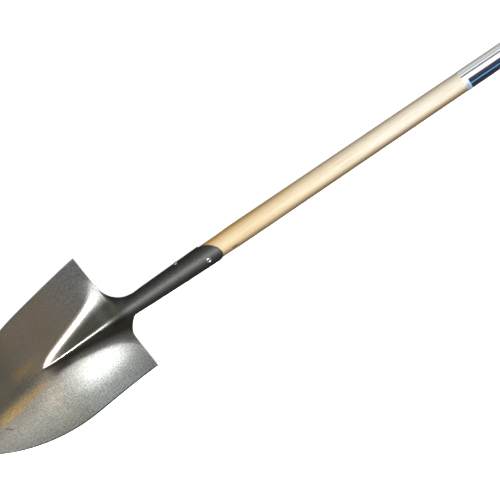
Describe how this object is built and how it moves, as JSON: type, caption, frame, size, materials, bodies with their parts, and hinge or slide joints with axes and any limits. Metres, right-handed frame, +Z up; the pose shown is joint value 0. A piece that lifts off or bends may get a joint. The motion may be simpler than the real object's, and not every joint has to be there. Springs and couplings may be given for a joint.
{
  "type": "round point shovel",
  "caption": "Round point shovel with a pressed steel head, open-back frog and rolled socket on a long straight wooden handle, laid on its back.",
  "frame": {"origin": "centre of the bounding box in X and Y, on the floor that the shovel lies on", "axes": "+X along the handle towards its butt, +Y across the blade, +Z up, out of the blade's front"},
  "size_m": [1.4978, 0.2604, 0.0971],
  "materials": {
    "head_steel": "bare blasted sheet steel under clear lacquer, dark at the socket",
    "handle_wood": "pale straight-grained wood under clear varnish",
    "rivet_steel": "bright plated steel",
    "label_film": "glossy printed film with plain coloured bands"
  },
  "bodies": {
    "root": {"shovel_head": "head_steel", "handle": "handle_wood", "front_rivet": "rivet_steel", "side_rivet": "rivet_steel", "handle_label": "label_film"}
  },
  "joints": []
}
